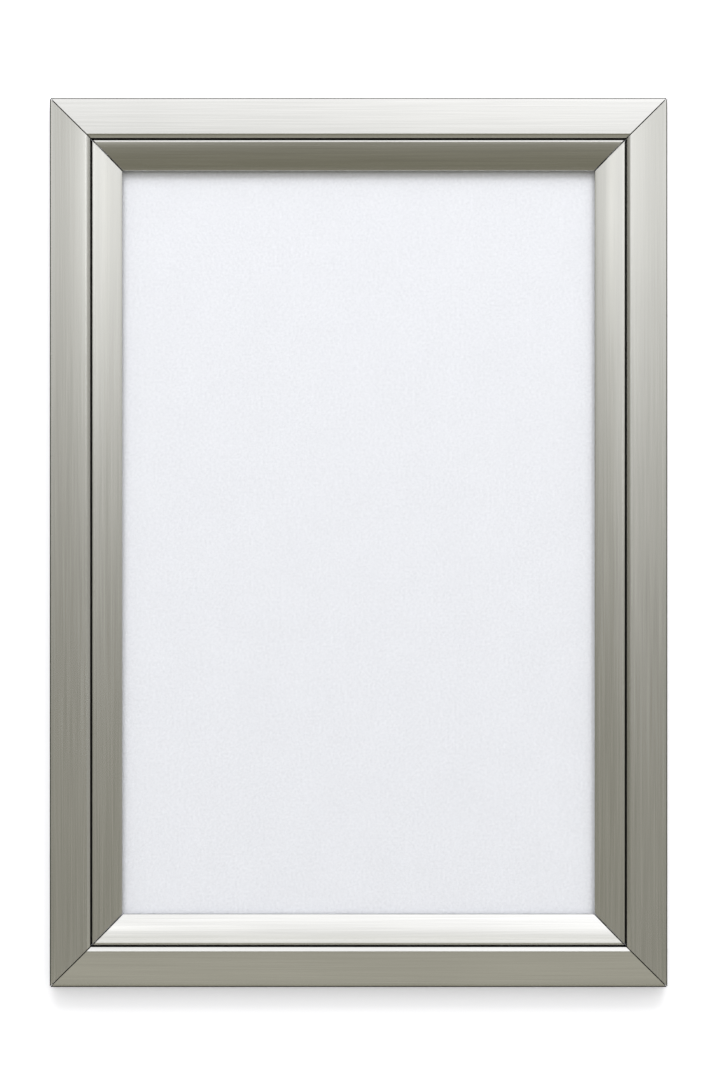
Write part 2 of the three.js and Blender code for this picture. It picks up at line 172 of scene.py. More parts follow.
def rail_hollow():
    """Hollow of the fixed rail with the hooked channel for the corner keys. Its roof runs
    below the front and the chamfer by the front wall's thickness, measured upright: the wall
    over the cosine of the slope."""
    ceiling = FRONT_WALL / np.cos(np.arctan2(RIDGE_HEIGHT - EDGE_HEIGHT, RIDGE_U))
    wall = FIXED_BAND - INNER_WALL
    left, right = KEY_LINE - KEY_HALF, KEY_LINE + KEY_HALF
    outer_left, outer_right = left - CHANNEL_WALL, right + CHANNEL_WALL
    lip_left, lip_right = left + CHANNEL_LIP, right - CHANNEL_LIP
    under, top = FLOOR + CHANNEL_DEPTH, FLOOR + CHANNEL_TOP
    slope = CHAMFER_DROP / CHAMFER_WIDTH
    drop = FRONT_WALL * np.hypot(1, slope)
    high = front_height(RIDGE_U) - ceiling
    knee = RIDGE_U + (RIDGE_HEIGHT - drop - high) / slope
    u = np.linspace(knee - 0.6, OUTER_WALL + 0.6, 16)
    roof = np.column_stack([u, front_height(u) - ceiling])
    corners = [
        (OUTER_WALL, FLOOR, 0.3), (outer_left, FLOOR, 0.3), (outer_left, top, 0.25),
        (lip_left, top, 0.25), (lip_left, under, 0.25), (left, under, 0.2), (left, FLOOR, 0.2),
        (right, FLOOR, 0.2), (right, under, 0.2), (lip_right, under, 0.25), (lip_right, top, 0.25),
        (outer_right, top, 0.25), (outer_right, FLOOR, 0.3), (wall, FLOOR, 0.3),
        (wall, RIDGE_HEIGHT - drop - slope * (wall - RIDGE_U), 0.2), (knee, high, 0.0),
        *with_radius(roof),
        (OUTER_WALL, front_height(OUTER_WALL) - ceiling - 0.6, 0.0),
    ]
    return rounded(corners, 4)


def lid_line():
    """Middle line of the lid wall: an arc that leaves the bead at the start slope and ends
    over the lip. Its chord turns half as far as the arc, which gives the radius."""
    slope = np.radians(LID_SLOPE)
    lip = np.array([BAND - LID_WALL / 2, COVER_TOP + LIP_CLEARANCE + LIP_DEPTH - LID_WALL / 2])
    rise = BEAD - LID_WALL / 2
    start = np.array([HINGE_U + rise * np.sin(slope), HINGE_V + rise * np.cos(slope)])
    chord = lip - start
    half = np.arctan2(-chord[1], chord[0]) - slope
    radius = np.hypot(*chord) / (2 * np.sin(half))
    centre = start - radius * np.array([np.sin(slope), np.cos(slope)])
    return centre, radius, lip


LID_CENTRE, LID_RADIUS, LIP = lid_line()
LID_FROM = 90 - LID_SLOPE
LID_TO = np.degrees(np.arctan2(*(LIP - LID_CENTRE)[::-1]))
LID_UPPER, LID_LOWER = LID_RADIUS + LID_WALL / 2, LID_RADIUS - LID_WALL / 2


def on_lid(u, radius):
    """Height at u of the circle of that radius about the lid's centre."""
    return LID_CENTRE[1] + np.sqrt(radius ** 2 - (u - LID_CENTRE[0]) ** 2)


def lid_angle(u, radius):
    """Angle at which the circle of that radius about the lid's centre passes u."""
    return np.degrees(np.arccos((u - LID_CENTRE[0]) / radius))


def lid_front(u):
    """Height of the lid's front at u: the bead's circle, then the lid's arc."""
    start = LID_CENTRE[0] + LID_UPPER * np.cos(np.radians(LID_FROM))
    bead = HINGE_V + np.sqrt(np.maximum(BEAD ** 2 - (u - HINGE_U) ** 2, 0))
    return np.where(u < start, bead, on_lid(np.minimum(u, LIP[0]), LID_UPPER))


RIB_U = HINGE_U + LID_RIB
FOOT_U = RIB_U - FOOT_WIDTH
FOOT_TOP = on_lid(FOOT_U, LID_LOWER) - FOOT_DROP


def throat():
    """Where the bead's circle crosses the lid's underside: the crossing of two circles, at
    (distance² + radius² - other radius²) / (2 distance) along the line of their centres."""
    hinge = np.array([HINGE_U, HINGE_V])
    line = LID_CENTRE - hinge
    distance = np.hypot(*line)
    along = (distance ** 2 + BEAD ** 2 - LID_LOWER ** 2) / (2 * distance)
    across = np.sqrt(BEAD ** 2 - along ** 2)
    line /= distance
    return hinge + line * along + np.array([-line[1], line[0]]) * across


def lid_outline():
    """Snap lid: arched wall from the bead to a round lip, with the spring groove below."""
    hinge = (HINGE_U, HINGE_V)
    neck = throat()
    neck_angle = np.degrees(np.arctan2(neck[1] - HINGE_V, neck[0] - HINGE_U))
    right = RIB_U + LID_RIB_WALL
    low = FOOT_TOP - FOOT_THICK
    half = LID_WALL / 2
    lip_foot = (LIP[0], COVER_TOP + LIP_CLEARANCE + half)
    behind_lip = lid_angle(BAND - LID_WALL - 0.6, LID_LOWER)
    past_rib = lid_angle(right + 0.3, LID_LOWER)
    before_rib = lid_angle(RIB_U - 0.3, LID_LOWER)
    past_neck = lid_angle(neck[0] + 0.1, LID_LOWER)
    corners = [
        *with_radius(arc(LID_CENTRE, LID_UPPER, LID_FROM, LID_TO, 44)),
        *with_radius(arc(LIP, half, LID_TO, 0, 12)[1:]),
        *with_radius(arc(lip_foot, half, 0, -180, 18)),
        (BAND - LID_WALL, on_lid(BAND - LID_WALL, LID_LOWER), 0.3),
        *with_radius(arc(LID_CENTRE, LID_LOWER, behind_lip, past_rib, 20)),
        (right, on_lid(right, LID_LOWER), 0.2), (right, low, 0.25), (FOOT_U, low, 0.25),
        (FOOT_U, FOOT_TOP, 0.25), (RIB_U, FOOT_TOP, 0.15), (RIB_U, on_lid(RIB_U, LID_LOWER), 0.15),
        *with_radius(arc(LID_CENTRE, LID_LOWER, before_rib, past_neck, 8)),
        *with_radius(arc(hinge, BEAD, neck_angle, LID_FROM - 360, 44)[1:-1]),
    ]
    return rounded(corners[::-1], 5)


def spring_line():
    """Middle line of a leaf spring: a leg in the rail's slot, a half circle for the belly,
    a leg up past the lid's foot and a quarter circle over it. It is walked at equal steps of
    length, and at each end at steps that follow the quarter circle of its round corners."""
    line = FIXED_BAND + SPRING_SLOT / 2
    top = ARM_BOTTOM - SPRING_CLEARANCE
    belly = (line + SPRING_BELLY, top - SPRING_LEG)
    hook = (belly[0] + SPRING_BELLY + SPRING_HOOK, FOOT_TOP)
    corners = np.vstack([
        [(line, top)],
        arc(belly, SPRING_BELLY, 180, 360, 40),
        arc(hook, SPRING_HOOK, 180, 90, 12),
        [(RIB_U - SPRING_CLEARANCE, FOOT_TOP + SPRING_HOOK)],
    ])
    walked = np.concatenate([[0], np.cumsum(np.linalg.norm(np.diff(corners, axis=0), axis=1))])
    ends = SPRING_CORNER * (1 - np.cos(np.linspace(0, np.pi / 2, 7)))
    first, last = SPRING_CORNER + 0.3, walked[-1] - SPRING_CORNER - 0.3
    steps = np.concatenate([ends, np.linspace(first, last, 64), walked[-1] - ends[::-1]])
    return np.column_stack([np.interp(steps, walked, corners[:, k]) for k in (0, 1)]), steps


# Meshes

def soften(mesh, sharp=30.0):
    """Smooth shading but for edges that turn more than sharp degrees."""
    mesh.shade_smooth()
    mesh.set_sharp_from_angle(angle=np.radians(sharp))


def put_mesh(name, verts, faces, sharp=30.0):
    """A mesh object at the origin, from points in millimetres."""
    mesh = bpy.data.meshes.new(name)
    mesh.from_pydata((verts * MM).tolist(), [], faces)
    mesh.validate()
    mesh.update()
    soften(mesh, sharp)
    obj = bpy.data.objects.new(name, mesh)
    bpy.context.scene.collection.objects.link(obj)
    return obj


def tube_faces(rings, count, first=0):
    """Faces of a closed tube of rings of count points each: quads between neighbouring rings
    and a cap on both ends."""
    index = first + np.arange(rings * count).reshape(rings, count)
    ahead = np.roll(index, -1, axis=1)
    quads = np.stack([index[:-1], ahead[:-1], ahead[1:], index[1:]], -1).reshape(-1, 4)
    return quads.tolist() + [index[0].tolist(), index[-1, ::-1].tolist()]


def inset(loop, depth):
    """The closed loop moved to its left by depth, each point along the mean of its two sides."""
    ahead = np.roll(loop, -1, axis=0) - loop
    ahead /= np.maximum(np.linalg.norm(ahead, axis=1, keepdims=True), 1e-9)
    mean = ahead + np.roll(ahead, 1, axis=0)
    mean /= np.maximum(np.linalg.norm(mean, axis=1, keepdims=True), 1e-9)
    return loop + depth * np.column_stack([-mean[:, 1], mean[:, 0]])


def to_side(u, v, s, side):
    """Side's own u, v and length s to x, y, z: a quarter turn about Y for each next side."""
    turn, _, reach, _ = SIDES[side]
    inward = u - reach
    if turn == 0:
        return np.stack([s, -v, inward], -1)
    if turn == 1:
        return np.stack([inward, -v, -s], -1)
    if turn == 2:
        return np.stack([-s, -v, -inward], -1)
    return np.stack([-inward, -v, s], -1)


def carried(name, loops, side, setback, shaded, materials):
    """Closed section loops carried straight along a side. Each point stops where setback
    says, and a small bevel runs round both mitred ends. Faces between shaded points and
    the cut ends take the second of the two materials, which is painted shade."""
    length = SIDES[side][1]
    verts, faces, ends, shade = [], [], ([], []), []
    base = 0
    for loop in loops:
        count = len(loop)
        small = inset(loop, END_BEVEL)
        full = length / 2 - setback(loop[:, 0], loop[:, 1]) - END_BEVEL
        tip = length / 2 - setback(small[:, 0], small[:, 1])
        for ring, s in ((small, -tip), (loop, -full), (loop, full), (small, tip)):
            verts.append(to_side(ring[:, 0], ring[:, 1], s, side))
        i = np.arange(count)
        j = (i + 1) % count
        dark = shaded(loop[:, 0], loop[:, 1])
        for lower in base + np.arange(3) * count:
            upper = lower + count
            faces += np.column_stack([lower + i, lower + j, upper + j, upper + i]).tolist()
            shade.append(dark & dark[j])
        ends[0].append((base, small))
        ends[1].append((base + 3 * count, small))
        base += 4 * count
    for group in ends:
        polys = [[Vector((p[0], p[1], 0)) for p in ring] for _, ring in group]
        index = np.concatenate([start + np.arange(len(ring)) for start, ring in group])
        for tri in tessellate_polygon(polys):
            a, b, c = (index[k] for k in tri)
            faces.append([int(a), int(b), int(c)])
    obj = put_mesh(name, np.vstack(verts), faces)
    for material in materials:
        obj.data.materials.append(material)
    second = np.ones(len(obj.data.polygons), int)
    walls = np.concatenate(shade)
    second[:len(walls)] = walls
    obj.data.polygons.foreach_set("material_index", second)
    return fix_normals(obj)


def fix_normals(obj):
    """Doubles merged and every face turned outwards."""
    bm = bmesh.new()
    bm.from_mesh(obj.data)
    bmesh.ops.remove_doubles(bm, verts=bm.verts, dist=1e-7)
    bmesh.ops.recalc_face_normals(bm, faces=bm.faces)
    bm.to_mesh(obj.data)
    bm.free()
    obj.data.update()
    return obj


def strip(name, line, steps, side, station):
    """Spring strip: a flat section with round edges carried along its middle line. Its width
    follows a quarter circle towards each end, so that the corners are round."""
    tangent = np.gradient(line, steps, axis=0)
    tangent /= np.linalg.norm(tangent, axis=1, keepdims=True)
    normal = np.column_stack([-tangent[:, 1], tangent[:, 0]])
    near = np.minimum(steps, steps[-1] - steps)
    share = np.clip(1 - near / SPRING_CORNER, 0, 1)
    half = SPRING_LONG / 2 - SPRING_CORNER * (1 - np.sqrt(1 - share ** 2))
    edge = SPRING_THICK / 2
    turn = np.radians(np.concatenate([np.linspace(90, -90, 7), np.linspace(270, 90, 7)]))
    end = np.repeat([1.0, -1.0], 7)
    s = station + end * (half[:, None] - edge) + edge * np.cos(turn)
    rise = edge * np.sin(turn)
    u = line[:, :1] + normal[:, :1] * rise
    v = line[:, 1:] + normal[:, 1:] * rise
    verts = to_side(u, v, s, side).reshape(-1, 3)
    return fix_normals(put_mesh(name, verts, tube_faces(*s.shape), 50.0))


def drill(stations, side):
    """Cutter for the screw holes: a circle of the hole's radius, opened out by a small
    chamfer at both faces of the floor, and turned about each hole's centre."""
    chamfer, beyond = 0.25, 0.5
    height = np.array([-beyond, chamfer, FLOOR - chamfer, FLOOR + beyond])
    radius = HOLE_RADIUS + np.array([1, 0, 0, 1]) * (chamfer + beyond)
    turn = np.linspace(0, 2 * np.pi, 48, endpoint=False)
    verts, faces = [], []
    for k, station in enumerate(stations):
        u = HOLE_LINE + radius[:, None] * np.cos(turn)
        s = station + radius[:, None] * np.sin(turn)
        v = np.broadcast_to(height[:, None], u.shape)
        verts.append(to_side(u, v, s, side).reshape(-1, 3))
        faces += tube_faces(*u.shape, k * u.size)
    return fix_normals(put_mesh("drill", np.vstack(verts), faces))


def cut(obj, cutter):
    """The cutter taken out of the piece, and the cutter thrown away."""
    step = obj.modifiers.new("screw_holes", "BOOLEAN")
    step.object, step.operation, step.solver = cutter, "DIFFERENCE", "EXACT"
    done = obj.evaluated_get(bpy.context.evaluated_depsgraph_get())
    mesh = bpy.data.meshes.new_from_object(done)
    obj.modifiers.clear()
    obj.data = mesh
    soften(mesh)
    bpy.data.objects.remove(cutter)


# Finishes

class Field:
    """A socket of a shader tree that takes part in sums, differences and products."""

    def __init__(self, tree, socket):
        self.tree, self.socket = tree, socket

    def _math(self, kind, *others):
        sockets = dict(enumerate((self, *others)))
        return self.tree.node("ShaderNodeMath", {"operation": kind}, sockets)

    def __add__(self, o): return self._math("ADD", o)
    __radd__ = __add__
    def __mul__(self, o): return self._math("MULTIPLY", o)
    __rmul__ = __mul__
    def __sub__(self, o): return self._math("SUBTRACT", o)
    def __rsub__(self, o): return self * -1.0 + o
    def __abs__(self): return self._math("ABSOLUTE")
    def clamp(self): return self.tree.node("ShaderNodeClamp", {}, {"Value": self})


class Tree:
    """A node tree. The method node makes any node and joins it to what feeds it."""

    def __init__(self, tree):
        self.nodes, self.links = tree.nodes, tree.links

    def node(self, kind, settings, inputs, output=0):
        made = self.nodes.new(kind)
        for key, value in settings.items():
            if key == "stops":
                self.set_stops(made.color_ramp, value)
            else:
                setattr(made, key, value)
        for key, value in inputs.items():
            self.feed(made.inputs[key], value)
        return Field(self, made.outputs[output])

    def feed(self, socket, value):
        if isinstance(value, Field):
            self.links.new(value.socket, socket)
        else:
            socket.default_value = value

    def set_stops(self, ramp, stops):
        """Grey levels of a ramp at places from -1 to 1, which the ramp holds as 0 to 1."""
        ramp.elements.remove(ramp.elements[1])
        for i, (place, level) in enumerate(stops):
            stop = ramp.elements[0] if i == 0 else ramp.elements.new((place + 1) / 2)
            stop.position = (place + 1) / 2
            stop.color = (level, level, level, 1)

    def part(self, vector, axis):
        """One number of a vector: 0, 1 or 2 for x, y or z."""
        return self.node("ShaderNodeSeparateXYZ", {}, {0: vector}, axis)

    def ramp(self, value, stops):
        """The level that belongs to a value between -1 and 1, straight from stop to stop. The
        ramp holds shares of its highest level, because its colours end at 1."""
        top = max(level for _, level in stops)
        stops = [(place, level / top) for place, level in stops]
        return self.node("ShaderNodeValToRGB", {"stops": stops}, {0: value * 0.5 + 0.5}) * top

    def blend(self, factor, first, second):
        """First colour where the factor is 0, second where it is 1."""
        sockets = {0: factor}
        for key, colour in ((6, first), (7, second)):
            sockets[key] = colour if isinstance(colour, Field) else (*colour, 1.0)
        return self.node("ShaderNodeMix", {"data_type": "RGBA"}, sockets, 2)


class Finish(Tree):
    """A material and its node tree."""

    def __init__(self, name):
        self.material = bpy.data.materials.new(name)
        self.material.use_nodes = True
        super().__init__(self.material.node_tree)
        self.shader = self.nodes["Principled BSDF"]

    def place(self, scale):
        """Object coordinates in metres, stretched by scale along each axis."""
        where = self.node("ShaderNodeTexCoord", {}, {}, "Object")
        return self.node("ShaderNodeMapping", {}, {"Vector": where, "Scale": scale})

    def noise(self, scale, detail=3.0, rough=0.5):
        """Noise with scale waves to a metre along each axis."""
        return self.node("ShaderNodeTexNoise", {}, {
            "Vector": self.place(scale), "Scale": 1.0, "Detail": detail, "Roughness": rough,
        })

    def bump(self, height, strength, distance):
        return self.node("ShaderNodeBump", {}, {
            "Height": height, "Strength": strength, "Distance": distance,
        })

    def wear(self, **sockets):
        """The shader's sockets set by name, with _ for a space."""
        for key, value in sockets.items():
            self.feed(self.shader.inputs[key.replace("_", " ")], value)
        return self.material


def painted_corner_shade(finish, along):
    """Mask of a painted shade, a darker line along a rail's outer corner: 1 on the last 0.4 mm
    of a rail's front before its outer corner, 0 from 0.9 mm inward and below 9.8 mm: two
    clamped slopes that rise over half a millimetre, multiplied."""
    width, low, fade = 0.9 * MM, 9.8 * MM, 0.5 * MM
    place = finish.node("ShaderNodeTexCoord", {}, {}, "Object")
    across, reach = (2, HEIGHT / 2) if along == 0 else (0, WIDTH / 2)
    out = (abs(finish.part(place, across)) - (reach * MM - width)) * (1 / fade)
    front = (finish.part(place, 1) * -1 - low) * (1 / fade)
    return out.clamp() * front.clamp()


def brushed_metal(name, along, dark, light, rough, corner=None):
    """Brushed, clear-anodised aluminium: long fine streaks run along the rail over a slow
    drift of tone, in colour, roughness and height. Where corner is given, a painted shade
    darkens the outer corner to that share of the dark tone."""
    finish = Finish(name)

    def streaks(across, length):
        return finish.noise([length if axis == along else across for axis in range(3)], 1.5)

    fine = streaks(2600.0, 16.0)
    wide = streaks(900.0, 7.0)
    drift = finish.noise((11.0, 11.0, 11.0), 2.0)
    streak = fine * 0.72 + wide * 0.28
    colour = finish.blend((streak * 0.75 + drift * 0.25).clamp(), dark, light)
    # Painted shade: a darker line along the rail's outer corner
    if corner is not None:
        colour = finish.blend(painted_corner_shade(finish, along), colour, [corner * c for c in dark])
    return finish.wear(
        Base_Color=colour,
        Metallic=1.0,
        Roughness=streak * 0.14 + (rough - 0.07),
        Normal=finish.bump(streak, 0.12, 0.00003),
    )


def make_painted_shade():
    """Painted shade for the hinge slot and for the lid's lip by the cover: a nearly black, dull
    and grainy finish that stands in for the shadow there.
    """
    finish = Finish("painted_shade_slot")
    grain = finish.noise((1800.0, 1800.0, 1800.0), 3.0)
    return finish.wear(
        Base_Color=finish.blend(grain, (0.003, 0.003, 0.003), (0.012, 0.0115, 0.0105)),
        Specular_IOR_Level=0.15,
        Roughness=grain * 0.2 + 0.6,
        Normal=finish.bump(grain, 0.2, 0.00005),
    )


def spring_steel():
    """Tempered spring steel: blue-grey with a straw drift and fine rolled scratches."""
    finish = Finish("tempered_spring_steel")
    drift = finish.noise((60.0, 60.0, 60.0), 3.0)
    scratch = finish.noise((300.0, 4000.0, 900.0), 3.0)
    return finish.wear(
        Base_Color=finish.blend(drift, (0.10, 0.105, 0.12), (0.22, 0.20, 0.17)),
        Metallic=1.0,
        Roughness=scratch * 0.25 + 0.2,
        Normal=finish.bump(scratch, 0.2, 0.00005),
    )


def zinc_steel():
    """Zinc-plated pressing: pale bluish metal with a cloudy spangle."""
    finish = Finish("zinc_plated_steel")
    cloud = finish.noise((220.0, 220.0, 220.0), 4.0)
    return finish.wear(
        Base_Color=finish.blend(cloud, (0.42, 0.45, 0.48), (0.58, 0.60, 0.62)),
        Metallic=1.0,
        Roughness=cloud * 0.3 + 0.28,
        Normal=finish.bump(cloud, 0.15, 0.00008),
    )


def backing_board():
    """Rigid white plastic board: faint orange-peel and a slow drift of tone."""
    finish = Finish("white_backing_board")
    peel = finish.noise((900.0, 900.0, 900.0), 3.0)
    drift = finish.noise((7.0, 7.0, 7.0), 2.0)
    return finish.wear(
        Base_Color=finish.blend(drift, (0.66, 0.655, 0.63), (0.76, 0.755, 0.735)),
        Roughness=peel * 0.2 + 0.5,
        Normal=finish.bump(peel, 0.25, 0.00008),
    )


def blank_paper():
    """Blank coated paper: bluish white, with fibre mottle in tone and height."""
    finish = Finish("blank_insert_paper")
    fibre = finish.noise((760.0, 760.0, 760.0), 4.0, 0.7)
    mottle = finish.noise((45.0, 45.0, 45.0), 3.0)
    tone = (fibre * 2.6 + mottle * 0.2 - 0.9).clamp()
    return finish.wear(
        Base_Color=finish.blend(tone, (0.7, 0.712, 0.762), (0.87, 0.882, 0.93)),
        Roughness=mottle * 0.15 + 0.65,
        Normal=finish.bump(fibre, 0.35, 0.00012),
    )


def clear_cover():
    """Clear anti-glare film: almost see-through, with a fine sanded face."""
    finish = Finish("clear_antiglare_cover")
    grain = finish.noise((2200.0, 2200.0, 2200.0), 3.0, 0.6)
    return finish.wear(
        Base_Color=(0.93, 0.95, 1.0, 1.0),
        Roughness=grain * 0.2 + 0.3,
        Alpha=grain * 0.06 + 0.07,
        Normal=finish.bump(grain, 0.15, 0.00004),
    )


# Rails, lids and springs

def rail_setback(u, v):
    """Mitre at 45 degrees, with the hinge cradle and its hook stopping short of it."""
    cradle = (u > FIXED_BAND + SPRING_SLOT / 2) & (v > ARM_BOTTOM - HOOK_DROP - 0.01)
    return u + RAIL_GAP + np.where(cradle, CRADLE_SETBACK, 0.0)


def lid_setback(u, v):
    """Mitre at 45 degrees that leans back below the front, and at the bead stands back as
    far as the bead's outline reaches inward while it turns."""
    leaning = u + LID_LEAN * np.maximum(lid_front(u) - v, 0)
    arm = np.hypot(u - HINGE_U, v - HINGE_V)
    start = np.degrees(np.arctan2(v - HINGE_V, u - HINGE_U)) % 360
    turned = HINGE_U + arm * np.cos(np.radians(np.minimum(start + SWING, 360)))
    return LID_GAP + np.where(arm < BEAD * 1.001, np.maximum(leaning, turned), leaning)


RAIL_TONES = ((0.47, 0.47, 0.455), (0.73, 0.73, 0.712))
LID_TONES = ((0.48, 0.48, 0.465), (0.74, 0.74, 0.722))

# By the axis that the streaks follow: 0 for the short sides, 2 for the long ones
# corner is the tone of the painted shade on the rails' outer corner, as a share of the dark one
rail_metal = {
    0: brushed_metal("brushed_rail_metal_across", 0, *RAIL_TONES, 0.23, corner=0.38),
    2: brushed_metal("brushed_rail_metal_upright", 2, *RAIL_TONES, 0.23, corner=0.38),
}
lid_metal = {
    0: brushed_metal("brushed_lid_metal_across", 0, *LID_TONES, 0.21),
    2: brushed_metal("brushed_lid_metal_upright", 2, *LID_TONES, 0.21),
}
# Painted shade, nearly black, for the hinge slot and the lip by the cover
painted_slot_shade = make_painted_shade()
steel = spring_steel()


def rail_shade_mask(u, v):
    """Points of the rail that lie in the hinge slot, below the gap, where the rail takes the
    painted shade.
    """
    below_gap = v < RIDGE_HEIGHT - CHAMFER_DROP - 0.12
    return (u > FIXED_BAND - 0.05) & below_gap & (v > ARM_BOTTOM - 0.1)


def lid_shade_mask(u, v):
    """Points of the lid in the hinge slot, and those of its lip close to the cover, where the lid
    takes the painted shade of the slot and of the shadow under the lip.
    """
    bead = (np.hypot(u - HINGE_U, v - HINGE_V) < BEAD + 0.01) & (v < HINGE_V + 0.6 * BEAD)
    lip = (u > BAND - LID_WALL - 0.05) & (v < COVER_TOP + LIP_CLEARANCE + 1.8)
    return bead | lip


def base_rail(side):
    """Fixed rail. The short ones have two screw holes in their floor."""
    along = 0 if side in ("top", "bottom") else 2
    loops = [rail_outline(), rail_hollow()[::-1]]
    # The second finish is the painted shade in the hinge slot
    metal_and_shade = (rail_metal[along], painted_slot_shade)
    rail = carried(f"rail_{side}", loops, side, rail_setback, rail_shade_mask, metal_and_shade)
    if along == 0:
        station = WIDTH / 2 - HOLE_LINE - HOLE_STATION
        cut(rail, drill((-station, station), side))
    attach(rail, "root_frame")
    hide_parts(f"base_rail_{side}")


def snap_lid(side):
    """Lid that turns with its bead in the rail's cradle."""
    # The second finish is the painted shade on the bead in the slot and on the lip by the cover
    metal_and_shade = (lid_metal[0 if side in ("top", "bottom") else 2], painted_slot_shade)
    lid = carried(f"lid_{side}", [lid_outline()], side, lid_setback, lid_shade_mask, metal_and_shade)
    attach(lid, f"lid_{side}")
    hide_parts(f"snap_lid_{side}")


def leaf_springs(side):
    """Springs of a side, evenly spread. Each is held by the rail at one leg and by the lid at
    the other."""
    _, length, _, count = SIDES[side]
    first = length / 2 - BAND - SPRING_END
    line, steps = spring_line()
    rail_leg, lid_leg, between = 24.1, 29.0, 8.0
    start, end = (to_side(u, between, 0.0, side) * MM for u in (rail_leg, lid_leg))
    for i in range(count):
        station = first * (2 * i / (count - 1) - 1)
        spring = strip(f"spring_{side}_{i + 1}", line, steps, side, station)
        spring.data.materials.append(steel)
        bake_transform(spring)
        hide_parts(f"leaf_spring_{side}_{i + 1}")


for side in SIDES:
    base_rail(side)
    snap_lid(side)
    leaf_springs(side)

# The corner keys and the sheets keep their CAD shapes
node_finishes = {
    "corner_key": zinc_steel(),
    "backing_panel": backing_board(),
    "poster_insert": blank_paper(),
    "cover_sheet": clear_cover(),
}
for node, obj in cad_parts.items():
    for kind, material in node_finishes.items():
        if node.startswith(kind):
            obj.data.materials.clear()
            obj.data.materials.append(material)


# Wall, floor, light and camera

def stage_plane(name, corners, finish, camera_only=True):
    """A flat sheet of the stage, seen by the camera alone or by the metal alone."""
    mesh = bpy.data.meshes.new(name)
    mesh.from_pydata(corners, [], [(0, 1, 2, 3)])
    mesh.materials.append(finish.material)
    obj = bpy.data.objects.new(name, mesh)
    bpy.context.scene.collection.objects.link(obj)
    obj.visible_diffuse = False
    obj.visible_transmission = False
    obj.visible_shadow = False
    obj.visible_glossy = not camera_only
    obj.visible_camera = camera_only


def wall():
    """White wall just behind the frame, seen only from its front."""
    finish = Finish("white_wall")
    finish.wear(
        Base_Color=(0.97, 0.97, 0.97, 1), Roughness=1.0, Specular_IOR_Level=0.0,
        Emission_Color=(0.84, 0.86, 1.0, 1), Emission_Strength=0.275,
    )
    back = finish.node("ShaderNodeNewGeometry", {}, {}, "Backfacing")
    clear = finish.node("ShaderNodeBsdfTransparent", {}, {})
    shown = Field(finish, finish.shader.outputs[0])
    mixed = finish.node("ShaderNodeMixShader", {}, {0: back, 1: shown, 2: clear})
    finish.feed(finish.nodes["Material Output"].inputs["Surface"], mixed)
    y, reach = 0.0006, 3
    stage_plane("stage_wall", [
        (-reach, y, -reach), (reach, y, -reach), (reach, y, reach), (-reach, y, reach),
    ], finish)


def floor():
    """Pale floor far below the frame."""
    finish = Finish("pale_floor")
    finish.wear(Base_Color=(0.9, 0.9, 0.89, 1), Roughness=0.9)
    z, reach = -0.9, 6
    stage_plane("stage_floor", [
        (-reach, -reach, z), (reach, -reach, z), (reach, reach, z), (-reach, reach, z),
    ], finish)


def glowing_card():
    """Glowing card below the frame, a soft light that only its metal sees."""
    finish = Finish("glowing_card_light")
    finish.wear(
        Base_Color=(0.0, 0.0, 0.0, 1), Roughness=1.0, Specular_IOR_Level=0.0,
        Emission_Color=(1.0, 0.97, 0.82, 1), Emission_Strength=0.55,
    )
    z, half, near, far = -0.3, 0.4, -0.205, -0.06
    stage_plane("stage_glowing_card", [
        (-half, near, z), (half, near, z), (half, far, z), (-half, far, z),
    ], finish, False)


def lid_glow(side, strength):
    """Soft patch of light beside the camera that only the metal sees: it lifts the middle of
    the upright lid on the other side, and adds to the light behind it. Its level is the
    product of a ramp across and a ramp upward, fitted to the photograph's tones on that lid."""
    finish = Finish(f"pale_glow_{'left' if side < 0 else 'right'}")
    place = finish.node("ShaderNodeTexCoord", {}, {}, "Object")
    across = finish.ramp(finish.part(place, 0) * side, [
        (0.1, 0.0), (0.13, 0.3), (0.167, 0.5), (0.215, 0.75), (0.265, 0.95), (0.33, 1.0),
        (0.39, 0.75), (0.45, 0.4), (0.54, 0.1), (0.6, 0.0),
    ])
    up = finish.ramp(finish.part(place, 2), [
        (0.0, 0.0), (0.0525, 0.01), (0.123, 0.06), (0.193, 0.165), (0.2465, 0.27), (0.299, 0.43),
        (0.32, 0.5), (0.4, 0.0),
    ])
    light = finish.node("ShaderNodeEmission", {}, {
        "Color": (1.0, 1.0, 1.0, 1), "Strength": across * up * strength,
    })
    clear = finish.node("ShaderNodeBsdfTransparent", {}, {})
    both = finish.node("ShaderNodeAddShader", {}, {0: light, 1: clear})
    finish.feed(finish.nodes["Material Output"].inputs["Surface"], both)
    y, near, far, top = -0.7, 0.1 * side, 0.6 * side, 0.4
    stage_plane(finish.material.name, [
        (near, y, 0), (far, y, 0), (far, y, top), (near, y, top),
    ], finish, False)


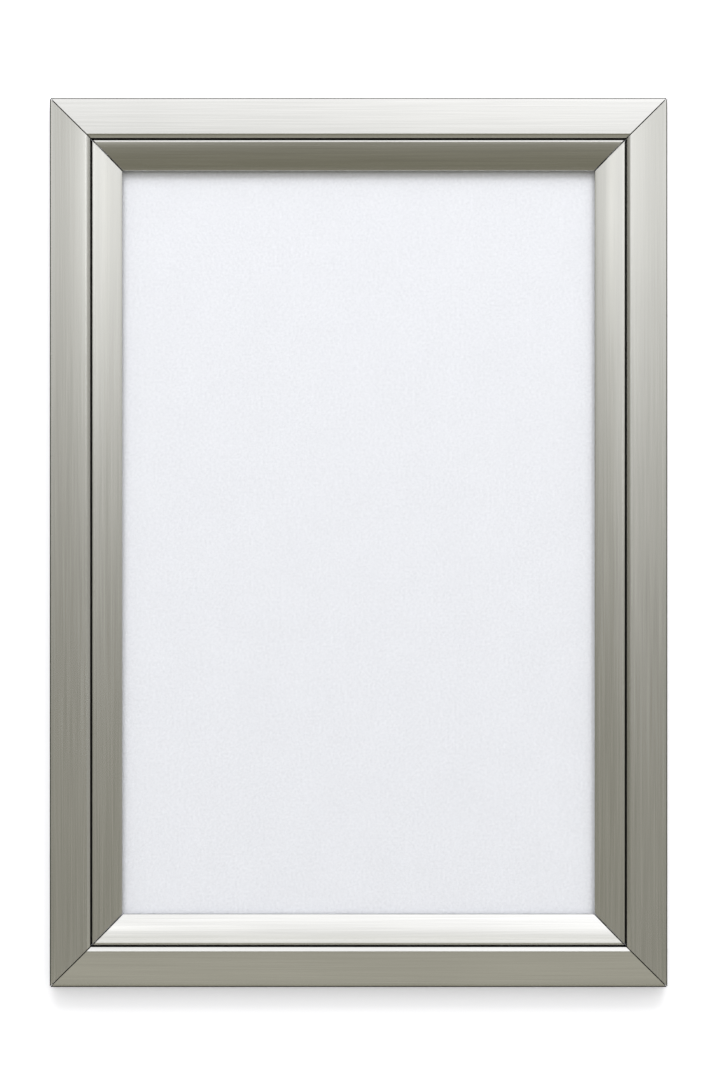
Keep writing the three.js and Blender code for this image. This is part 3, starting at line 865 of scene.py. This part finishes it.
def studio():
    """World light by direction, x to the right, y away from the camera and z up. Its level is
    low light plus a rise over the horizon, which dips to both sides below the high light and
    tilts across it. The far sides are even, and it fades behind the wall. Low light is warm.
    The camera itself sees a plain pale ground. The levels were fitted to the tones that the
    photograph shows on the metal of the four sides."""
    world = bpy.data.worlds.new("soft_studio")
    world.use_nodes = True
    bpy.context.scene.world = world
    tree = Tree(world.node_tree)
    where = tree.node("ShaderNodeTexCoord", {}, {}, "Generated")
    x, y, z = (tree.part(where, axis) for axis in range(3))

    low = tree.ramp(z, [
        (-1.0, 0.36), (-0.94, 0.35), (-0.9, 0.25), (-0.8, 0.25), (-0.5, 0.27), (-0.3, 0.3),
        (-0.16, 0.322), (-0.1, 0.315), (1.0, 0.315),
    ])
    rise = tree.ramp(z, [
        (-0.14, 0.0), (-0.1, 0.01), (-0.07, 0.04), (-0.056, 0.07), (-0.04, 0.09), (-0.024, 0.13),
        (-0.008, 0.17), (0.008, 0.22), (0.023, 0.28), (0.039, 0.35), (0.054, 0.45), (0.07, 0.55),
        (0.085, 0.68), (0.097, 0.8), (0.109, 0.94), (0.12, 1.12), (0.131, 1.32), (0.141, 1.48),
        (0.155, 1.42), (0.17, 0.88), (0.2, 0.75), (0.3, 0.76), (0.36, 0.88), (0.42, 1.0),
        (0.535, 1.1), (0.72, 1.27), (0.85, 1.36), (1.0, 1.42),
    ])
    sides = tree.ramp(x, [
        (-0.9, 0.8), (-0.71, 0.82), (-0.64, 0.78), (-0.58, 0.6), (-0.49, 0.6), (-0.45, 0.7),
        (-0.41, 0.8), (-0.36, 0.98), (-0.22, 1.08), (-0.13, 1.08), (-0.08, 1.16), (0.08, 1.18),
        (0.13, 1.15), (0.22, 1.15), (0.38, 1.06), (0.42, 1.09), (0.49, 0.96), (0.54, 0.88),
        (0.58, 0.83), (0.66, 1.0), (0.9, 1.04),
    ])
    tilt = tree.ramp(x, [(-0.12, 0.85), (-0.08, 0.88), (0.0, 0.96), (0.055, 1.01), (0.12, 1.04)])
    high = tree.ramp(z, [(0.3, 0.0), (0.42, 1.0)])
    beside = tree.ramp(x, [(-0.4, 1.0), (-0.22, 0.0), (0.22, 0.0), (0.4, 1.0)])
    ground = tree.ramp(z, [(-0.36, 1.0), (-0.18, 0.0)]) * beside
    level = low + rise * (sides * (1 - high) + tilt * high) + ground * 0.32

    far = tree.ramp(x, [(-0.95, 1.0), (-0.9, 0.0), (0.9, 0.0), (0.95, 1.0)])
    level = level * (1 - far) + far * tree.ramp(x, [(-0.5, 0.28), (0.5, 0.55)])

    darkest, brightest = 0.25, 2.0
    share = (level - darkest) * (1 / (brightest - darkest))
    warm = (darkest, darkest * 0.955, darkest * 0.72)
    white, bluish = [brightest] * 3, (brightest, brightest, brightest * 1.02)
    colour = tree.blend(share, warm, tree.blend(high, white, bluish))
    behind = tree.ramp(y, [
        (-0.3, 0.0), (-0.05, 0.7), (0.1, 0.88), (0.4, 0.8), (0.7, 0.3), (1.0, 0.2),
    ])
    colour = tree.blend(behind, colour, (0.0, 0.0, 0.0))
    seen = tree.node("ShaderNodeLightPath", {}, {}, "Is Camera Ray")
    colour = tree.blend(seen, colour, (0.93, 0.93, 0.925))
    tree.feed(tree.nodes["Background"].inputs["Color"], colour)


def overhead():
    """Soft box above the front, for the paper and the wall alone: the metal reflects the
    world light only."""
    away, up = 1.25, 1.8
    data = bpy.data.lights.new("overhead", "AREA")
    data.shape, data.size, data.size_y = "RECTANGLE", 1.9, 0.9
    data.energy = 28
    obj = bpy.data.objects.new("overhead", data)
    obj.location = (0.1, -away, up)
    obj.rotation_euler = (np.arctan2(away, up), 0, 0)
    obj.visible_glossy = False
    bpy.context.scene.collection.objects.link(obj)


def camera():
    """85 mm lens, head on, placed so that the frame fills the picture as photographed."""
    data = bpy.data.cameras.new("camera")
    data.sensor_fit = "VERTICAL"
    data.sensor_height = 36
    data.lens = 85
    obj = bpy.data.objects.new("camera", data)
    obj.location = (0.00081, -1.441, 0.0014)
    obj.rotation_euler = (np.pi / 2, 0, 0)
    bpy.context.scene.collection.objects.link(obj)
    bpy.context.scene.camera = obj


wall()
floor()
glowing_card()
lid_glow(-1, 1.7)
lid_glow(1, 0.75)
studio()
overhead()
camera()
bpy.context.scene.view_settings.view_transform = "Standard"
